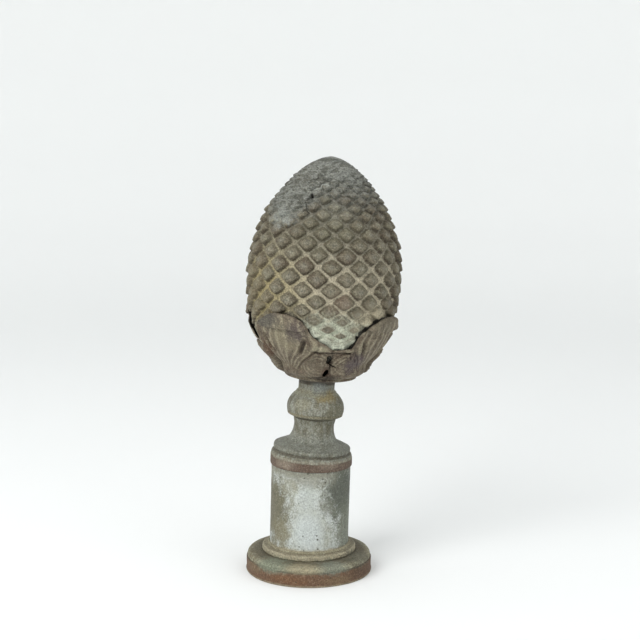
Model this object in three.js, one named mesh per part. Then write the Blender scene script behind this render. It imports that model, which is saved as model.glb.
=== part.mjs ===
// Pinecone finial of weathered sheet zinc. A round stepped foot carries a plain drum, a spun baluster,
// a stamped cup of acanthus leaves and a scaled cone. The solids stand for the hollow sheet-metal pieces.
// Millimetres, +Z up. The origin is the centre of the foot's underside and the front faces -Y.
// An azimuth of 0 faces the front and grows towards +X. The worn stack leans towards +X.

import * as THREE from 'three';

// Fits
const mateGap = 0.3;

// Foot: a rolled edge, an upright rim band, a sloping moulding and a ring round the drum
const footRadius = 80;
const rolledEdge = 2;
const rimInset = 0.6;
const rimHeight = 17.4;
const mouldingInset = 1.8;
const mouldingRise = 7;
const mouldingSlope = 1;
const ringWidth = 9;
const ringHeight = 7.6;
const ringUndercut = 0.8;
const drumSeatRise = 1.4;
const socketDepth = 2.4;
const socketLip = 0.9;
const filletShare = 0.3;

// Drum
const drumRadius = 50;
const drumHeight = 101.4;

// Baluster: a collar ring, a bead, a waist, a knop and a short neck
const collarOverhang = 1.6;
const collarHeight = 15;
const collarRound = 2.6;
const beadRadius = 48;
const beadHeight = 8;
const beadGroove = 1.6;
const shoulderHeight = 8;
const shoulderRadius = 38.8;
const shoulderRise = 2;
const waistRadius = 25;
const waistHeight = 29.5;
const waistFlare = 1.6;
const waistTopRadius = 27;
const knopRadius = 36;
const knopUnderside = 9;
const knopBelly = 9;
const knopTop = 14;
const knopFillet = 1.2;
const neckRadius = 22.4;
const neckHeight = 13.4;

// Cone: an egg with a small flat end underneath and staggered rings of diamond scales
const coneRadius = 98.2;
const coneTopHeight = 151.4;
const coneBottomHeight = 120;
const coneTaper = 1.29;
const coneShoulder = 0.985;
const coneStandRadius = 17;
const scalesPerRing = 17;
const scaleAzimuth = 16.2;
const ringSpacing = 14.3;
const ringAtWaist = 0.34;
const spacingPowerAbove = 0.95;
const spacingPowerBelow = 5;
const scaleHeight = 5.2;
const scaleSlant = 0.35;
const padShare = 0.58;
const scaleEndBelow = 54;
const scaleFadeBelow = 34;
const crownRadius = 50;
const crownFadeRadius = 60;

// Dent beside the tear at the cone's upper left
const dentAzimuth = -33;
const dentRise = 101;
const dentReach = 30;
const dentDepth = 4;

// Leaf cup: four leaves with folded tips, two round lobes at each seam between them
const leafCount = 4;
const leafAzimuth = -32;
const sheetWall = 2;
const leafClearance = 2;
const cupFloor = 3.4;
const cupSeatHeight = 7.4;
const cupBulge = 24;
const cupBulgeStart = 4;
const cupBulgeEnd = 28;
const cupFootSink = 2;
const cupFootFade = 6;
const cupAside = 4.2;
const cupAsideFade = 45;
const tipRise = 89.5;
const seamRise = 48.5;
const sideRise = 56;
const tipHalfAngle = 13;
const tipShoulderAngle = 29;
const foldHalfAngle = 12;
const foldEndAngle = 25;
const foldDrop = 13;
const foldOverhang = 3.4;
const foldEdge = 0.5;
const foldLedge = 2;
const foldLipShare = 0.8;
const fluteStep = 11.25;
const fluteDepth = 2.4;
const fluteSunk = 0.6;
const fluteHalfAngle = 23;
const fluteEndAngle = 27;
const fluteStart = 12;
const fluteFull = 34;
const lobeAngle = 30;
const lobeRise = 27.5;
const lobeReach = 17.5;
const lobeHeight = 5.2;
const lobeSlant = 0.3;
const seamGroove = 1.4;
const seamGrooveAngle = 4;
const eyeAngle = 17;
const eyeRise = 51;
const eyeReach = 8;
const eyeDepth = 1.4;

// Lean of the stack, in degrees, and the height over which each bend happens
const drumLean = 1.2;
const shoulderLean = 3.2;
const knopLean = -1.2;
const bendHeight = 24;

// Facets
const spunFacets = 28;
const curveFacets = 3;
const cupFacets = 64;
const cupRows = 8;
const cupRowCrowding = 1.35;
const cupInnerRows = 3;
const plainConeRings = 3;
const crownRings = 2;
const walkStep = 0.004;

// Heights of the mates, from the ground up
const seatHeight = rimHeight + mouldingRise + mouldingSlope + ringHeight + drumSeatRise;
const drumFoot = seatHeight + mateGap;
const drumTop = drumFoot + drumHeight;
const balusterFoot = drumTop + mateGap;
const beadFoot = balusterFoot + collarHeight + beadGroove;
const waistFoot = beadFoot + beadHeight + shoulderHeight;
const knopFoot = waistFoot + waistHeight;
const neckFoot = knopFoot + knopUnderside + knopBelly + knopTop;
const neckTop = neckFoot + neckHeight;
const cupFoot = neckTop + mateGap;
const cupSeat = cupFoot + cupSeatHeight;
const coneFoot = cupSeat + mateGap;

const bends = [
  { from: drumFoot, by: THREE.MathUtils.degToRad(drumLean) },
  { from: balusterFoot, by: THREE.MathUtils.degToRad(shoulderLean) },
  { from: knopFoot - bendHeight / 2, by: THREE.MathUtils.degToRad(knopLean) },
];

const fullTurn = 2 * Math.PI;
const radians = THREE.MathUtils.degToRad;
const smooth = THREE.MathUtils.smoothstep;
const blend = THREE.MathUtils.lerp;

// Each bend turns the axis smoothly, so every height has its own tilt and sideways place.
function leaned(point) {
  let tilt = 0;
  let aside = 0;
  for (const bend of bends) {
    const share = THREE.MathUtils.clamp((point.z - bend.from) / bendHeight, 0, 1);
    const beyond = Math.max(0, point.z - bend.from - bendHeight);
    tilt += bend.by * smooth(share, 0, 1);
    aside += bend.by * (bendHeight * (share ** 3 - share ** 4 / 2) + beyond);
  }
  return new THREE.Vector3(
    aside + point.x * Math.cos(tilt),
    point.y,
    point.z - point.x * Math.sin(tilt),
  );
}

function around(azimuth, radius, height) {
  return new THREE.Vector3(radius * Math.sin(azimuth), -radius * Math.cos(azimuth), height);
}

// A ring is a list of corners in order of azimuth. A pole is a ring of one corner.
function ringOf(count, place) {
  const corners = [];
  for (let index = 0; index < count; index += 1) {
    const azimuth = (index / count) * fullTurn;
    corners.push({ azimuth, point: place(azimuth) });
  }
  return corners;
}

function pole(height) {
  return [{ azimuth: 0, point: new THREE.Vector3(0, 0, height) }];
}

// Joins two rings with triangles, stepping on along the ring whose next corner comes first.
function joinRings(lower, upper, lowerStart, upperStart, indices) {
  const lowerSteps = lower.length > 1 ? lower.length : 0;
  const upperSteps = upper.length > 1 ? upper.length : 0;
  const azimuthOf = (ring, step) => {
    const turns = Math.floor(step / ring.length);
    return ring[step % ring.length].azimuth + turns * fullTurn;
  };
  let low = 0;
  let high = 0;
  while (low < lowerSteps || high < upperSteps) {
    const a = lowerStart + (low % lower.length);
    const b = upperStart + (high % upper.length);
    const lowerNext = low < lowerSteps ? azimuthOf(lower, low + 1) : Infinity;
    const upperNext = high < upperSteps ? azimuthOf(upper, high + 1) : Infinity;
    if (lowerNext <= upperNext) {
      low += 1;
      indices.push(a, lowerStart + (low % lower.length), b);
    } else {
      high += 1;
      indices.push(a, upperStart + (high % upper.length), b);
    }
  }
}

// The closed skin of a stack of rings, from the pole of the underside to the last pole.
function skinOf(rings) {
  const positions = [];
  const indices = [];
  const starts = [];
  for (const ring of rings) {
    starts.push(positions.length / 3);
    for (const corner of ring) {
      positions.push(...leaned(corner.point).toArray());
    }
  }
  for (let row = 0; row + 1 < rings.length; row += 1) {
    joinRings(rings[row], rings[row + 1], starts[row], starts[row + 1], indices);
  }
  const geometry = new THREE.BufferGeometry();
  geometry.setAttribute('position', new THREE.Float32BufferAttribute(positions, 3));
  geometry.setIndex(indices);
  geometry.computeVertexNormals();
  return geometry;
}

// A spun piece from a profile of radius and height that starts and ends on the axis.
function spun(profile) {
  const points = profile.getPoints(curveFacets);
  const last = points.length - 1;
  const rings = points.slice(1, last).map((point) => (
    ringOf(spunFacets, (azimuth) => around(azimuth, point.x, point.y))
  ));
  return skinOf([pole(points[0].y), ...rings, pole(points[last].y)]);
}

function zinc(name, geometry, color, roughness) {
  const material = new THREE.MeshStandardMaterial({ color, roughness, metalness: 0.25 });
  const mesh = new THREE.Mesh(geometry, material);
  mesh.name = name;
  return mesh;
}

// Stepped foot
function footProfile() {
  const rimRadius = footRadius - rimInset;
  const mouldingRadius = rimRadius - mouldingInset;
  const mouldingTop = rimHeight + mouldingRise;
  const ringRadius = drumRadius + ringWidth;
  const ringFoot = mouldingTop + mouldingSlope;
  const ringTop = ringFoot + ringHeight;
  const socketRadius = drumRadius + mateGap;
  const lipTop = seatHeight + socketDepth;
  const profile = new THREE.Path();
  profile.moveTo(0, 0);
  profile.lineTo(footRadius, 0);
  profile.lineTo(footRadius, rolledEdge);
  profile.lineTo(rimRadius, rolledEdge + rimInset);
  profile.lineTo(rimRadius, rimHeight);
  profile.lineTo(mouldingRadius, rimHeight + rimInset);
  profile.quadraticCurveTo(mouldingRadius, mouldingTop, mouldingRadius - mouldingRise, mouldingTop);
  profile.lineTo(ringRadius - ringUndercut, ringFoot);
  profile.lineTo(ringRadius, ringFoot + ringUndercut);
  profile.lineTo(ringRadius, ringTop - ringHeight / 3);
  profile.quadraticCurveTo(ringRadius, ringTop, ringRadius - ringHeight / 3, ringTop);
  profile.lineTo(blend(socketRadius, ringRadius, filletShare), ringTop);
  profile.lineTo(socketRadius + socketLip, lipTop);
  profile.lineTo(socketRadius, lipTop);
  profile.lineTo(socketRadius, seatHeight);
  profile.lineTo(0, seatHeight);
  return profile;
}

// Drum
function drumProfile() {
  const profile = new THREE.Path();
  profile.moveTo(0, drumFoot);
  profile.lineTo(drumRadius, drumFoot);
  profile.lineTo(drumRadius, drumFoot + socketDepth + mateGap);
  profile.lineTo(drumRadius, drumTop);
  profile.lineTo(0, drumTop);
  return profile;
}

// Baluster
function balusterProfile() {
  const collarRadius = drumRadius + collarOverhang;
  const collarTop = balusterFoot + collarHeight;
  const beadMiddle = beadFoot + beadHeight / 2;
  const beadTop = beadFoot + beadHeight;
  const waistTop = knopFoot - knopUnderside / 3;
  const knopEdge = knopFoot + knopUnderside;
  const knopShoulder = knopEdge + knopBelly;
  const profile = new THREE.Path();
  profile.moveTo(0, balusterFoot);
  profile.lineTo(collarRadius, balusterFoot);
  profile.lineTo(collarRadius, collarTop - collarRound);
  profile.lineTo(collarRadius - collarRound, collarTop);
  profile.lineTo(beadRadius - beadGroove, beadFoot);
  profile.lineTo(beadRadius, beadFoot + beadHeight / 4);
  profile.lineTo(beadRadius, beadMiddle);
  const waistQuarter = waistFoot + waistHeight / 4;
  const waistBend = waistFoot + (2 * waistHeight) / 3;
  profile.quadraticCurveTo(beadRadius, beadTop, shoulderRadius, beadTop + shoulderRise);
  profile.quadraticCurveTo(waistRadius + 2 * waistFlare, waistFoot, waistRadius + waistFlare, waistQuarter);
  profile.quadraticCurveTo(waistRadius - waistFlare, waistBend, waistTopRadius, waistTop);
  profile.lineTo(waistTopRadius + knopFillet, knopFoot);
  profile.lineTo(knopRadius - knopFillet, knopEdge - knopUnderside / 4);
  profile.quadraticCurveTo(
    knopRadius + knopFillet,
    knopEdge + knopBelly / 3,
    knopRadius - knopFillet,
    knopShoulder,
  );
  profile.quadraticCurveTo(knopRadius - knopTop / 3, neckFoot - knopTop / 4, neckRadius, neckFoot);
  profile.lineTo(neckRadius, neckTop);
  profile.lineTo(0, neckTop);
  return profile;
}

// Cone: the egg's flat end lies at coneFoot, where the egg is as wide as the stand
const coneSink = coneBottomHeight * (1 - Math.sqrt(1 - (coneStandRadius / coneRadius) ** 2));
const coneWaist = coneFoot + coneBottomHeight - coneSink;

function coneOutline(angle) {
  const cosine = Math.max(0, Math.cos(angle));
  const sine = Math.abs(Math.sin(angle));
  if (angle < 0) {
    return new THREE.Vector2(coneRadius * cosine, coneWaist - coneBottomHeight * sine);
  }
  const height = coneWaist + coneTopHeight * sine ** coneShoulder;
  return new THREE.Vector2(coneRadius * cosine ** coneTaper, height);
}

// Walks up or down the outline from its widest level and notes which ring each angle has reached.
function ringWalk(direction, power, isDone) {
  const step = walkStep * direction;
  const walk = [{ angle: 0, ring: ringAtWaist }];
  let angle = 0;
  let ring = ringAtWaist;
  while (!isDone(coneOutline(angle + step))) {
    const here = coneOutline(angle);
    const there = coneOutline(angle + step);
    const spacing = ringSpacing * (here.x / coneRadius) ** power;
    ring += (direction * here.distanceTo(there)) / spacing;
    angle += step;
    walk.push({ angle, ring });
  }
  return walk;
}

const walkUp = ringWalk(1, spacingPowerAbove, (point) => point.x < crownRadius);
const walkDown = ringWalk(-1, spacingPowerBelow, (point) => point.y < coneWaist - scaleEndBelow);
const coneWalk = [...walkDown.slice(1).reverse(), ...walkUp];
const lowestRing = coneWalk[0].ring;
const highestRing = coneWalk[coneWalk.length - 1].ring;

function angleOfRing(ring) {
  const wanted = THREE.MathUtils.clamp(ring, lowestRing, highestRing);
  const next = Math.max(1, coneWalk.findIndex((entry) => entry.ring >= wanted));
  const before = coneWalk[next - 1];
  const after = coneWalk[next];
  return blend(before.angle, after.angle, (wanted - before.ring) / (after.ring - before.ring));
}

// Grooves run at whole numbers. Between two of them lie the two edges of a raised pad.
function latticePlace(index) {
  const cell = Math.floor(index / 3);
  const part = index - 3 * cell;
  const padEdges = [0, (1 - padShare) / 2, (1 + padShare) / 2];
  return { place: cell + padEdges[part], part };
}

function dentAt(azimuth, radius, height) {
  const sideways = radius * Math.sin(azimuth - radians(dentAzimuth));
  const isNear = Math.cos(azimuth - radians(dentAzimuth)) > 0;
  const distance = Math.hypot(sideways, height - coneWaist - dentRise);
  return isNear ? 1 - smooth(distance, 0, dentReach) : 0;
}

// One corner of the scale lattice. The two indices count along the two families of spiral grooves.
function scaleCorner(acrossIndex, alongIndex) {
  const across = latticePlace(acrossIndex);
  const along = latticePlace(alongIndex);
  const ring = across.place - along.place;
  const azimuth = ((across.place + along.place) / 2 / scalesPerRing) * fullTurn + radians(scaleAzimuth);
  const outline = coneOutline(angleOfRing(ring));
  const dent = dentAt(azimuth, outline.x, outline.y);
  const crownFade = smooth(outline.x, crownRadius, crownFadeRadius);
  const footFade = smooth(outline.y, coneWaist - scaleEndBelow, coneWaist - scaleFadeBelow);
  const isPad = across.part > 0 && along.part > 0;
  const slant = 1 - (scaleSlant * (1 + across.part - along.part)) / 2;
  const groove = scaleHeight * crownFade;
  const lift = isPad ? groove * slant * footFade * (1 - dent / 2) : 0;
  const sunk = groove - lift + dentDepth * dent;
  const isUpper = outline.y > coneWaist;
  const outward = new THREE.Vector2(
    outline.x / coneRadius ** 2,
    (outline.y - coneWaist) / (isUpper ? coneTopHeight : coneBottomHeight) ** 2,
  ).normalize();
  const radius = outline.x - sunk * outward.x;
  const height = outline.y - sunk * outward.y;
  return { azimuth, point: around(azimuth, radius, height) };
}

// Turns a ring's corners so that they start at the first azimuth past zero.
function fromZero(corners) {
  const turned = corners.map((corner) => {
    const turns = Math.floor(corner.azimuth / fullTurn);
    return { azimuth: corner.azimuth - turns * fullTurn, point: corner.point };
  });
  return turned.sort((a, b) => a.azimuth - b.azimuth);
}

function scaleRow(row) {
  const corners = [];
  for (let index = 0; index < 3 * scalesPerRing; index += 1) {
    corners.push(scaleCorner(index, index - row));
  }
  return fromZero(corners);
}

// The scaled cone: a plain underside, rows of scale corners and a worn crown
function coneSkin() {
  const rings = [pole(coneFoot)];
  const startAngle = angleOfRing(lowestRing);
  const standAngle = -Math.acos(coneStandRadius / coneRadius);
  for (let index = 0; index < plainConeRings; index += 1) {
    const outline = coneOutline(blend(standAngle, startAngle, index / plainConeRings));
    const radius = index === 0 ? outline.x : outline.x - scaleHeight;
    rings.push(ringOf(2 * scalesPerRing, (azimuth) => around(azimuth, radius, outline.y)));
  }
  for (let row = Math.ceil(3 * lowestRing); row <= 3 * highestRing; row += 1) {
    rings.push(scaleRow(row));
  }
  const endAngle = angleOfRing(highestRing);
  for (let index = 1; index <= crownRings; index += 1) {
    const outline = coneOutline(blend(endAngle, Math.PI / 2, index / (crownRings + 1)));
    rings.push(ringOf(scalesPerRing, (azimuth) => around(azimuth, outline.x, outline.y)));
  }
  rings.push(pole(coneWaist + coneTopHeight));
  return skinOf(rings);
}

// Leaf cup: it follows the cone at a clearance and bulges below it, more on the side of the lean
function cupOutline(azimuth, height) {
  const rise = height - cupFoot;
  const share = THREE.MathUtils.clamp((coneWaist - height) / coneBottomHeight, 0, 1);
  const inside = Math.max(coneStandRadius, coneRadius * Math.sqrt(1 - share ** 2));
  const footShare = smooth(rise, -cupFootSink, cupFootFade);
  const bulge = cupBulge * footShare * (1 - smooth(rise, cupBulgeStart, cupBulgeEnd));
  const aside = cupAside * Math.sin(azimuth) * (1 - smooth(rise, 0, cupAsideFade));
  return inside + leafClearance + sheetWall + bulge + aside;
}

// Degrees from the middle of the nearest leaf
function leafOffset(azimuth) {
  const span = 360 / leafCount;
  const degrees = THREE.MathUtils.radToDeg(azimuth) - leafAzimuth + span / 2;
  return THREE.MathUtils.euclideanModulo(degrees, span) - span / 2;
}

function rimTop(offset) {
  const away = Math.abs(offset);
  const seamAngle = 180 / leafCount;
  const side = blend(sideRise, seamRise, smooth(away, tipShoulderAngle, seamAngle));
  const tip = 1 - smooth(away, tipHalfAngle, tipShoulderAngle);
  return cupFoot + blend(side, tipRise, tip);
}

function foldAt(offset) {
  return 1 - smooth(Math.abs(offset), foldHalfAngle, foldEndAngle);
}

function carvingAt(azimuth, height) {
  const offset = leafOffset(azimuth);
  const away = Math.abs(offset);
  const seamAngle = 180 / leafCount;
  const radius = cupOutline(azimuth, height);
  const rise = height - cupFoot;
  const wave = (1 - Math.cos((offset / fluteStep) * fullTurn)) / 2;
  const fluted = smooth(rise, fluteStart, fluteFull) * (1 - smooth(away, fluteHalfAngle, fluteEndAngle));
  const lobeAway = Math.hypot(radius * radians(away - lobeAngle), rise - lobeRise) / lobeReach;
  const slant = 1 + lobeSlant * Math.sin(azimuth);
  const lobe = lobeHeight * slant * Math.sqrt(Math.max(0, 1 - lobeAway ** 2));
  const seam = seamGroove * (1 - smooth(seamAngle - away, 0, seamGrooveAngle));
  const eyeAway = Math.hypot(radius * radians(offset - eyeAngle), rise - eyeRise) / eyeReach;
  const eye = eyeDepth * Math.max(0, 1 - eyeAway);
  const flute = (fluteDepth * (1 - wave) - fluteSunk) * fluted;
  return lobe + flute - seam * smooth(rise, 0, fluteStart) - eye;
}

function cupSkin() {
  const rings = [pole(cupFoot)];
  const addRing = (place) => rings.push(ringOf(cupFacets, (turn) => {
    const azimuth = turn + radians(leafAzimuth);
    const offset = leafOffset(azimuth);
    const { radius, height } = place(azimuth, offset);
    return around(azimuth, radius, height);
  }));
  const ledge = (offset) => rimTop(offset) - foldDrop * foldAt(offset) - foldLedge;
  for (let row = 0; row <= cupRows; row += 1) {
    const share = (row / cupRows) ** cupRowCrowding;
    addRing((azimuth, offset) => {
      const height = blend(cupFoot, ledge(offset), share);
      return { radius: cupOutline(azimuth, height) + carvingAt(azimuth, height), height };
    });
  }
  const foldOut = (offset) => foldEdge + foldOverhang * foldAt(offset);
  addRing((azimuth, offset) => ({
    radius: cupOutline(azimuth, ledge(offset)) + foldOut(offset),
    height: ledge(offset) + foldEdge,
  }));
  addRing((azimuth, offset) => ({
    radius: cupOutline(azimuth, rimTop(offset)) + foldLipShare * foldOut(offset),
    height: rimTop(offset) - 2 * foldEdge,
  }));
  addRing((azimuth, offset) => ({
    radius: cupOutline(azimuth, rimTop(offset)) - sheetWall / 3,
    height: rimTop(offset),
  }));
  const innerFloor = cupFoot + cupFloor;
  for (let row = 0; row < cupInnerRows; row += 1) {
    addRing((azimuth, offset) => {
      const height = blend(rimTop(offset) - foldEdge, innerFloor, row / cupInnerRows);
      return { radius: cupOutline(azimuth, height) - sheetWall, height };
    });
  }
  const bossRadius = coneStandRadius + mateGap;
  addRing(() => ({ radius: bossRadius + cupSeatHeight - cupFloor, height: innerFloor }));
  addRing(() => ({ radius: bossRadius, height: cupSeat }));
  rings.push(pole(cupSeat));
  return skinOf(rings);
}

const finial = new THREE.Group();
finial.add(zinc('stepped_base', spun(footProfile()), 0x948b72, 0.75));
finial.add(zinc('drum', spun(drumProfile()), 0xb4b5aa, 0.7));
finial.add(zinc('baluster', spun(balusterProfile()), 0x8a8878, 0.72));
finial.add(zinc('leaf_calyx', cupSkin(), 0x7a6f64, 0.75));
finial.add(zinc('pinecone', coneSkin(), 0x857d6b, 0.78));

export default finial;
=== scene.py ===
import math

import bmesh
import bpy
import numpy as np
from mathutils import Matrix, Vector


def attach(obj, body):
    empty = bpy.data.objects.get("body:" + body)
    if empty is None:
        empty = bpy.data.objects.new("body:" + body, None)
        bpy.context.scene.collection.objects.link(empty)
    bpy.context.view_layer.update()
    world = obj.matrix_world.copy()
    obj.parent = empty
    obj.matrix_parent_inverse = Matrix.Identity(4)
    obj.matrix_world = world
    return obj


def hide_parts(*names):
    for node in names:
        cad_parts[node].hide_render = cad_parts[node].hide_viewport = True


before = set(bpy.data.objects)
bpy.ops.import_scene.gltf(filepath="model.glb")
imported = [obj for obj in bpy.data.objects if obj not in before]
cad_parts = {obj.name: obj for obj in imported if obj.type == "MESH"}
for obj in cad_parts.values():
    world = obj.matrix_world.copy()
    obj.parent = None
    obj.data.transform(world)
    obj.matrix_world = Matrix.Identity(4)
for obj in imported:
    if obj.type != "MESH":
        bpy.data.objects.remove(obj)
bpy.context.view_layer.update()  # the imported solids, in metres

mm = 0.001

# The old stack leans: each bend starts at a height and turns the rest by some degrees.
stack = {
    "bends": ((34.7, 1.2), (136.4, 3.2), (186.5, -1.2)),
    "bendHeight": 24,
}


def smoothShare(value, start, end):
    share = np.clip((value - start) / (end - start), 0, 1)
    return share * share * (3 - 2 * share)


def blend(first, second, share):
    return first + (second - first) * share


def leaned(points):
    x, y, z = points[:, 0] / mm, points[:, 1] / mm, points[:, 2] / mm
    tilt = np.zeros_like(z)
    aside = np.zeros_like(z)
    length = stack["bendHeight"]
    for start, degrees in stack["bends"]:
        turn = math.radians(degrees)
        share = np.clip((z - start) / length, 0, 1)
        tilt += turn * share ** 2 * (3 - 2 * share)
        aside += turn * (length * (share ** 3 - share ** 4 / 2) + np.maximum(0, z - start - length))
    return np.column_stack((aside + x * np.cos(tilt), y, z - x * np.sin(tilt))) * mm


# A soft line: 1 in its middle, fading within about the given width.
def bell(away, width):
    return np.exp(-(away / width) ** 2)


def deselectAll():
    if bpy.context.object and bpy.context.object.mode != "OBJECT":
        bpy.ops.object.mode_set(mode="OBJECT")
    bpy.ops.object.select_all(action="DESELECT")


def editAll(piece, mode="EDGE"):
    bpy.context.view_layer.objects.active = piece
    piece.select_set(True)
    bpy.ops.object.mode_set(mode="EDIT")
    bpy.ops.mesh.select_mode(type=mode)
    bpy.ops.mesh.select_all(action="SELECT")


# Selects the edges, in edit mode, whose two ends pass a test.
def selectEdges(piece, isWanted):
    bpy.ops.mesh.select_all(action="DESELECT")
    shape = bmesh.from_edit_mesh(piece.data)
    for edge in shape.edges:
        if isWanted(edge.verts[0].co, edge.verts[1].co):
            edge.select_set(True)
    bmesh.update_edit_mesh(piece.data)


def readPoints(piece):
    values = np.empty(len(piece.data.vertices) * 3)
    piece.data.vertices.foreach_get("co", values)
    return values.reshape(-1, 3)


def writePoints(piece, points):
    piece.data.vertices.foreach_set("co", np.ravel(points))
    piece.data.update()


def writeAttribute(piece, name, values):
    layer = piece.data.attributes.new(name, "FLOAT", "POINT")
    layer.data.foreach_set("value", np.asarray(values, dtype=np.float32))


# An unevenness from -1 to 1, with waves of about the given size in mm.
def uneven(points, size, seed):
    chance = np.random.default_rng(seed)
    total = np.zeros(len(points))
    for wave in range(9):
        direction = chance.normal(size=3)
        direction /= np.linalg.norm(direction)
        length = size * mm * chance.uniform(0.7, 1.6)
        total += np.sin(points @ direction * 2 * math.pi / length + chance.uniform(0, 2 * math.pi))
    return np.clip(total / 5, -1, 1)


# Adds up some unevennesses in mm: each has its height, the size of its waves and a seed.
def crust(points, waves):
    return sum(height * uneven(points, size, seed) for height, size, seed in waves)


def finishPiece(piece, node, smoothAngle):
    deselectAll()
    piece.select_set(True)
    bpy.context.view_layer.objects.active = piece
    bpy.ops.object.shade_smooth_by_angle(angle=math.radians(smoothAngle))
    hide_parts(node)
    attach(piece, "root")
    print("finished", piece.name, len(piece.data.polygons), "faces")


# Colours and nodes

def linear(hexColour):
    values = [int(hexColour[place:place + 2], 16) / 255 for place in (1, 3, 5)]
    return (*[v / 12.92 if v <= 0.04045 else ((v + 0.055) / 1.055) ** 2.4 for v in values], 1)


def addNode(tree, kind, links=None, **settings):
    node = tree.nodes.new(kind)
    for name, value in settings.items():
        setattr(node, name, value)
    for socket, value in (links or {}).items():
        if isinstance(value, bpy.types.NodeSocket):
            tree.links.new(value, node.inputs[socket])
        else:
            node.inputs[socket].default_value = value
    return node


# Turned pieces

# Each corner is radius, height and how far the bend is cut back, all in mm.
def roundedProfile(corners, longestStep):
    bends = []
    for index, (radius, height, cut) in enumerate(corners):
        corner = np.array((radius, height), float)
        if cut == 0:
            bends.append(corner)
            continue
        before = np.array(corners[index - 1][:2]) - corner
        after = np.array(corners[index + 1][:2]) - corner
        start = corner + before * min(cut / np.linalg.norm(before), 0.5)
        end = corner + after * min(cut / np.linalg.norm(after), 0.5)
        for share in np.linspace(0, 1, 6):
            bends.append((1 - share) ** 2 * start + 2 * share * (1 - share) * corner + share ** 2 * end)
    outline = [bends[0]]
    for here, there in zip(bends, bends[1:]):
        steps = max(1, math.ceil(np.linalg.norm(there - here) / longestStep))
        outline += [blend(here, there, step / steps) for step in range(1, steps + 1)]
    return outline


# Draws an outline of radius and height by extruding a point, and spins it round the middle line.
def spunOutline(name, outline, steps, mergeWithin, inside=False):
    deselectAll()
    bpy.ops.mesh.primitive_plane_add(size=mm)
    piece = bpy.context.object
    piece.name = name
    editAll(piece, "VERT")
    bpy.ops.mesh.merge(type="CENTER")
    bpy.ops.transform.translate(value=(outline[0][0] * mm, 0, outline[0][1] * mm))
    for here, there in zip(outline, outline[1:]):
        move = (there - here) * mm
        bpy.ops.mesh.extrude_vertices_move(TRANSFORM_OT_translate={"value": (move[0], 0, move[1])})
    bpy.ops.mesh.select_all(action="SELECT")
    bpy.ops.mesh.spin(steps=steps, angle=2 * math.pi, center=(0, 0, 0), axis=(0, 0, 1))
    bpy.ops.mesh.select_all(action="SELECT")
    bpy.ops.mesh.remove_doubles(threshold=mergeWithin * mm)
    bpy.ops.mesh.normals_make_consistent(inside=inside)
    bpy.ops.object.mode_set(mode="OBJECT")
    return piece


def turnedPiece(name, look):
    piece = spunOutline(name, roundedProfile(look["corners"], look["longestStep"]), look["spinSteps"], 0.005)
    points = readPoints(piece)
    radius = np.hypot(points[:, 0], points[:, 1])
    worn = crust(points, look["crust"])
    share = 1 + worn * mm / np.maximum(radius, 10 * mm) * smoothShare(radius / mm, 5, 20)
    points[:, 0] *= share
    points[:, 1] *= share
    writeAttribute(piece, "level", points[:, 2] / mm)
    writePoints(piece, leaned(points))
    return piece


foot = {
    "corners": (
        (0, 0, 0), (79.5, 0, 1.1), (79.6, 2.1, 0.7), (78.9, 2.6, 0.4), (79.1, 16.9, 0.5), (78.2, 17.3, 0.3),
        (77.7, 17.5, 0.3), (78, 21.4, 2.4), (75.6, 24.2, 2.2), (70.4, 24.6, 1.4), (67.6, 25.7, 1.2),
        (60.4, 26, 1.2), (58.4, 25.4, 0.5), (58.3, 26.7, 0.5), (59.2, 27.4, 0.8), (58.9, 31.4, 1.2),
        (57.2, 33.4, 1.2), (54.6, 33.3, 1), (53.2, 34.2, 0.8), (51.6, 34.6, 0.8), (50.9, 36.6, 0.4),
        (50.3, 36.7, 0.1), (50.3, 34.4, 0), (0, 34.4, 0),
    ),
    "longestStep": 2.6, "spinSteps": 180, "crust": ((0.3, 60, 11), (0.2, 14, 12)),
}
drum = {
    "corners": ((0, 34.7, 0), (49.8, 34.7, 0), (49.7, 90, 4), (49.8, 136.1, 0), (0, 136.1, 0)),
    "longestStep": 3, "spinSteps": 160, "crust": ((0.3, 80, 23), (0.1, 18, 24)),
}
baluster = {
    "corners": (
        (0, 136.4, 0), (51.2, 136.4, 0.6), (51.6, 138, 0.8), (51.5, 147.6, 0.8), (50.9, 148.4, 0.4),
        (50.6, 151.6, 1.8), (48.2, 153.4, 0.8), (47.2, 154.2, 0.5), (47.5, 155.4, 0.5), (48.3, 156.2, 0.8),
        (48.2, 160.4, 2), (44.2, 161.9, 1.6), (39.5, 164.2, 2), (34.6, 166.2, 2), (31, 168, 1.6),
        (28.6, 171, 1.6), (27.1, 174.8, 2), (25.7, 179.4, 2), (25, 184, 2), (25.1, 188.4, 2),
        (26, 192.6, 1.6), (26.8, 197.3, 0.7), (31.2, 198.4, 1.2), (34.2, 199.8, 1), (35, 201.8, 0.5),
        (34.5, 202.7, 0.3), (35.4, 203.6, 0.6), (36, 208, 1.8), (35.7, 211.7, 1.8), (34.8, 215.5, 1.8),
        (33.1, 219.3, 1.8), (30.6, 223, 1.8), (27.6, 226.2, 1), (25.4, 227.8, 0.5), (24.8, 229.6, 0.6),
        (23.2, 230.4, 0.6), (22.4, 232, 0.8), (22.3, 243.9, 0), (0, 243.9, 0),
    ),
    "longestStep": 2.2, "spinSteps": 144, "crust": ((0.45, 52, 37), (0.2, 11, 38)),
}

footPiece = turnedPiece("finialFoot", foot)
drumPiece = turnedPiece("finialDrum", drum)
balusterPiece = turnedPiece("finialBaluster", baluster)
print("turned the foot, the drum and the baluster")


# Pinecone

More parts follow.
